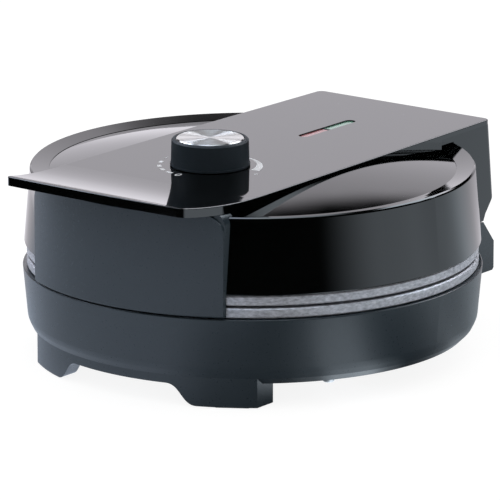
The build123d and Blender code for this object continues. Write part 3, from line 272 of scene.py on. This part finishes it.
# Dial print on the strap: radii and places in mm from the knob's middle, turns in degrees. An arc's radii
# are given at its start and its end, and a numeral as its text, place and size.
PRINT_LIFT = 0.02 * MM
PRINT_SKIN = 0.03 * MM
DASH_TURNS = (202.3, 222.0, 238.8, 254.9)
DASH_HALF_TURN = 4.6
DASH_INNER, DASH_OUTER = 23.2, 25.2
DASH_STEPS = 8
ARC_TURNS = (80.0, 9.0)
ARC_INNER, ARC_OUTER = (22.6, 21.8), (23.0, 26.2)
ARC_STEPS = 40
NUMERALS = (("0", 0.0, -25.0, 6.2), ("1", -25.7, -1.2, 4.2), ("6", 28.6, -1.4, 4.2))
white_print = plain("white_print", (0.72, 0.74, 0.78), (0.82, 0.84, 0.88), 0.5)


def mesh_object(name, points, faces, material):
    mesh = bpy.data.meshes.new(name)
    mesh.from_pydata(points, [], faces)
    mesh.update()
    mesh.materials.append(material)
    made = bpy.data.objects.new(name, mesh)
    scene.collection.objects.link(made)
    return made


def printed_arc(points, faces, turns, inner, outer, steps):
    """Adds a thin closed strip round the knob, with turns, inner and outer radii given for both ends."""
    first = len(points)
    for i in range(steps + 1):
        t = i / steps
        angle = radians(mix(*turns, t))
        for radius in (mix(*inner, t), mix(*outer, t)):
            for lift in (PRINT_LIFT, PRINT_LIFT + PRINT_SKIN):
                x, y = radius * MM * cos(angle), KNOB_Y + radius * MM * sin(angle)
                points.append((x, y, STRAP_TOP + lift))
    for i in range(steps):
        a, b = first + 4 * i, first + 4 * i + 4
        faces += [(a, b, b + 2, a + 2), (a + 1, a + 3, b + 3, b + 1)]
        faces += [(a, a + 1, b + 1, b), (a + 2, b + 2, b + 3, a + 3)]
    last = first + 4 * steps
    faces += [(first, first + 2, first + 3, first + 1), (last, last + 1, last + 3, last + 2)]


def dial_marks():
    """Dashes and an arc that widens, as one piece that rides on the lid."""
    points, faces = [], []
    for turn in DASH_TURNS:
        ends = (turn - DASH_HALF_TURN, turn + DASH_HALF_TURN)
        printed_arc(points, faces, ends, (DASH_INNER, DASH_INNER), (DASH_OUTER, DASH_OUTER), DASH_STEPS)
    printed_arc(points, faces, ARC_TURNS, ARC_INNER, ARC_OUTER, ARC_STEPS)
    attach(mesh_object("dial_print", points, faces, white_print), "lid")


def numeral(text, x, y, size):
    """A plain numeral laid on the strap, centred x, y from the knob's middle."""
    name = "numeral_" + text
    curve = bpy.data.curves.new(name, "FONT")
    curve.body = text
    curve.size = size * MM
    curve.extrude = PRINT_SKIN / 2
    curve.align_x = "CENTER"
    curve.align_y = "CENTER"
    drawn = bpy.data.objects.new(name + "_curve", curve)
    mesh = bpy.data.meshes.new_from_object(drawn)
    bpy.data.objects.remove(drawn)
    middle = (x * MM, KNOB_Y + y * MM, STRAP_TOP + PRINT_LIFT + PRINT_SKIN / 2)
    mesh.transform(Matrix.Translation(middle))
    mesh.materials.clear()
    mesh.materials.append(white_print)
    made = bpy.data.objects.new(name, mesh)
    scene.collection.objects.link(made)
    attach(made, "lid")


dial_marks()
for text, x, y, size in NUMERALS:
    numeral(text, x, y, size)


# Studio: pale floor, white surroundings, and dark and bright cards that only reflections see. A turn is
# in degrees to the right of the camera's side, a height in degrees above the horizon and a radius in metres.
def shade(value, table):
    """value mapped through the (position, result) pairs of table, eased between them."""
    if value <= table[0][0]:
        return table[0][1]
    for (a, low), (b, high) in zip(table, table[1:]):
        if value <= b:
            t = (value - a) / (b - a)
            return mix(low, high, t * t * (3 - 2 * t))
    return table[-1][1]


LEFT_TINT = (0.88, 1.0, 1.2)
RIGHT_TINT = (0.89, 1.0, 1.1)
REAR_TINT = (1.03, 1.0, 1.07)
SIDE_TO_REAR = [(112, 0.0), (140, 1.0)]
# Brightness by turn of the floor's far, middle, outer middle and near zones, and the radii where they meet.
# The far and near tables count the turn up on their own side, and the others below zero to the left.
FAR_RIGHT = [(30, 0.0), (63, 1.18), (80, 1.18), (98, 0.84), (106, 0.86), (120, 1.08), (135, 0.9), (160, 0.5)]
FAR_LEFT = [(95, 0.0), (120, 0.6), (160, 0.45)]
MID_LEFT = [(-105, 0.9), (-30, 1.08), (-6, 1.12), (6, 0.0)]
OUTER_LEFT = [(-110, 1.6), (-70, 2.1), (-50, 2.4), (-6, 1.8), (6, 0.0)]
NEAR_RIGHT = [(8, 0.12), (18, 0.5), (25, 1.9), (34, 2.05), (44, 0.4), (50, 0.05)]
NEAR_RIGHT += [(58, 0.12), (66, 0.3), (78, 0.72), (92, 0.5), (110, 0.6)]
NEAR_LEFT = [(0, 0.12), (8, 0.2), (32, 0.93), (55, 0.95), (80, 0.78), (110, 0.78)]
NEAR_TO_MID = [(0.2, 0.0), (0.26, 1.0)]
MID_TO_OUTER = [(0.39, 0.0), (0.45, 1.0)]
MID_TO_FAR = [(0.452, 0.0), (0.466, 1.0)]
# Brightness of the light behind, overhead and at the sides: by turn, and the share of it by height.
# SKY_TILT lowers the light behind by that many degrees for each degree away from straight behind.
SKY_ROUND = [(140, 0.0), (165, 1.1)]
SKY_TILT = 0.9
SKY_UP = [(3, 1.2), (12, 1.0), (31.5, 1.0), (37, 0.0)]
OVERHEAD_ROUND = [(-100, 0.0), (-70, 4.5), (20, 4.0), (60, 3.0), (100, 0.0)]
OVERHEAD_UP = [(58, 0.0), (66, 1.0)]
SIDE_ROUND = [(-148, 0.0), (-138, 6.5), (-84, 6.5), (-74, 0.0)]
SIDE_ROUND += [(95, 0.0), (105, 6.0), (146, 6.0), (152, 0.0)]
SIDE_UP = [(24, 0.0), (30, 1.0), (52, 1.0), (58, 0.0)]
# Grids of the two cards: the floor's rings are closest where its brightness changes fast
SKY_RADIUS = 6.0
SKY_ROWS, SKY_COLUMNS = 91, 145
FLOOR_RINGS = [0.0, 0.04, 0.08, 0.1, 0.11, 0.12, 0.13, 0.14, 0.15, 0.17, 0.19, 0.22, 0.26, 0.3, 0.36]
FLOOR_RINGS += [0.4, 0.43, 0.445, 0.452, 0.459, 0.466, 0.48, 0.52, 0.6, 0.9, 1.4, 2.2, 3.6, 6.0]
FLOOR_COLUMNS = 361
CARD_LIFT = 0.4 * MM
FLOOR_HALF = 6.0
FLOOR_COLOUR = 0.9
# Share of the floor's own shading hidden from the camera, and the white that is added to it there
FLOOR_HIDDEN = 0.78
FLOOR_WHITE = 0.88


def turned(point):
    """Degrees to the right of the camera's side, seen from the middle of the body."""
    flat = Vector((point[0], point[1] - CENTRE_Y, 0))
    return degrees(atan2(flat.dot(right), flat.dot(Vector((back.x, back.y, 0)).normalized())))


def tint(turn):
    """Colour of the light from a side: one tint each on the left, on the right and behind."""
    side = LEFT_TINT if turn < 0 else RIGHT_TINT
    share = shade(abs(turn), SIDE_TO_REAR)
    return [mix(a, b, share) for a, b in zip(side, REAR_TINT)]


def floor_glow(turn, radius):
    """Brightness that reflections see on the floor."""
    side = abs(turn)
    near = shade(side, NEAR_RIGHT if turn > 0 else NEAR_LEFT)
    far = shade(side, FAR_RIGHT if turn > 0 else FAR_LEFT)
    mid = mix(shade(turn, MID_LEFT), shade(turn, OUTER_LEFT), shade(radius, MID_TO_OUTER))
    if turn > 0:
        mid = max(mid, far)
    return mix(mix(near, mid, shade(radius, NEAR_TO_MID)), far, shade(radius, MID_TO_FAR))


def sky_glow(turn, height):
    """Brightness that reflections see above the horizon."""
    side = abs(turn)
    behind = shade(side, SKY_ROUND) * shade(height + SKY_TILT * (180 - side), SKY_UP)
    overhead = shade(turn, OVERHEAD_ROUND) * shade(height, OVERHEAD_UP)
    beside = shade(turn, SIDE_ROUND) * shade(height, SIDE_UP)
    return behind + overhead + beside


def card_material():
    n = Nodes("studio_card")
    n.tree.nodes.remove(n.shader)
    glow = n.node("ShaderNodeAttribute", attribute_name="glow")
    emit = n.node("ShaderNodeEmission")
    n.link(glow.outputs["Color"], emit.inputs["Color"])
    n.link(emit.outputs["Emission"], n.output.inputs["Surface"])
    n.material.cycles.emission_sampling = "NONE"
    return n.material


def studio_card(name, rows, columns, place, glow):
    """A grid of points from place(row, column), each with its own glow, that only reflections see."""
    points = [place(i, j) for i in range(rows) for j in range(columns)]
    faces = [
        (i * columns + j, i * columns + j + 1, (i + 1) * columns + j + 1, (i + 1) * columns + j)
        for i in range(rows - 1)
        for j in range(columns - 1)
    ]
    made = mesh_object(name, points, faces, card_material())
    values = made.data.attributes.new("glow", "FLOAT_COLOR", "POINT")
    for index, point in enumerate(points):
        amount = glow(point)
        values.data[index].color = (*[amount * c for c in tint(turned(point))], 1)
    made.visible_camera = False
    made.visible_diffuse = False
    made.visible_shadow = False
    made.visible_volume_scatter = False


def sky_place(i, j):
    height, angle = radians(i * 90 / (SKY_ROWS - 1)), 2 * pi * j / (SKY_COLUMNS - 1)
    flat = SKY_RADIUS * cos(height)
    return (flat * cos(angle), CENTRE_Y + flat * sin(angle), SKY_RADIUS * sin(height))


def floor_place(i, j):
    angle = 2 * pi * j / (FLOOR_COLUMNS - 1)
    return (FLOOR_RINGS[i] * cos(angle), CENTRE_Y + FLOOR_RINGS[i] * sin(angle), CARD_LIFT)


def sky_point_glow(point):
    return sky_glow(turned(point), degrees(asin(min(1.0, point[2] / SKY_RADIUS))))


def floor_point_glow(point):
    return floor_glow(turned(point), hypot(point[0], point[1] - CENTRE_Y))


studio_card("sky_card", SKY_ROWS, SKY_COLUMNS, sky_place, sky_point_glow)
studio_card("floor_card", len(FLOOR_RINGS), FLOOR_COLUMNS, floor_place, floor_point_glow)


def pale_floor():
    """A matt floor that the camera, gloss and glass see nearly white, with the shadow kept."""
    n = Nodes("pale_floor")
    corners = [(-FLOOR_HALF, -FLOOR_HALF, 0), (FLOOR_HALF, -FLOOR_HALF, 0)]
    corners += [(FLOOR_HALF, FLOOR_HALF, 0), (-FLOOR_HALF, FLOOR_HALF, 0)]
    floor = mesh_object("floor", corners, [(0, 1, 2, 3)], n.material)
    n.set(Base_Color=(FLOOR_COLOUR, FLOOR_COLOUR, FLOOR_COLOUR, 1), Roughness=0.9)
    seen = n.node("ShaderNodeLightPath")
    either = n.node("ShaderNodeMath", operation="ADD", use_clamp=True)
    n.link(seen.outputs["Is Camera Ray"], either.inputs[0])
    n.link(seen.outputs["Is Glossy Ray"], either.inputs[1])
    also = n.node("ShaderNodeMath", operation="ADD", use_clamp=True)
    n.link(either.outputs[0], also.inputs[0])
    n.link(seen.outputs["Is Transmission Ray"], also.inputs[1])
    white = n.node("ShaderNodeEmission", Strength=FLOOR_WHITE)
    both = n.node("ShaderNodeAddShader")
    n.link(white.outputs["Emission"], both.inputs[0])
    dim = n.node("ShaderNodeMixShader", Fac=FLOOR_HIDDEN)
    n.link(n.shader.outputs["BSDF"], dim.inputs[1])
    black = n.node("ShaderNodeBsdfDiffuse", Color=(0, 0, 0, 1))
    n.link(black.outputs["BSDF"], dim.inputs[2])
    n.link(dim.outputs["Shader"], both.inputs[1])
    choose = n.node("ShaderNodeMixShader")
    n.link(also.outputs[0], choose.inputs["Fac"])
    n.link(n.shader.outputs["BSDF"], choose.inputs[1])
    n.link(both.outputs["Shader"], choose.inputs[2])
    n.link(choose.outputs["Shader"], n.output.inputs["Surface"])


def white_world():
    world = bpy.data.worlds.new("world")
    scene.world = world
    world.use_nodes = True
    background = world.node_tree.nodes["Background"]
    background.inputs["Color"].default_value = (1, 1, 1, 1)
    background.inputs["Strength"].default_value = 1.0


pale_floor()
white_world()

scene.view_settings.view_transform = "Standard"
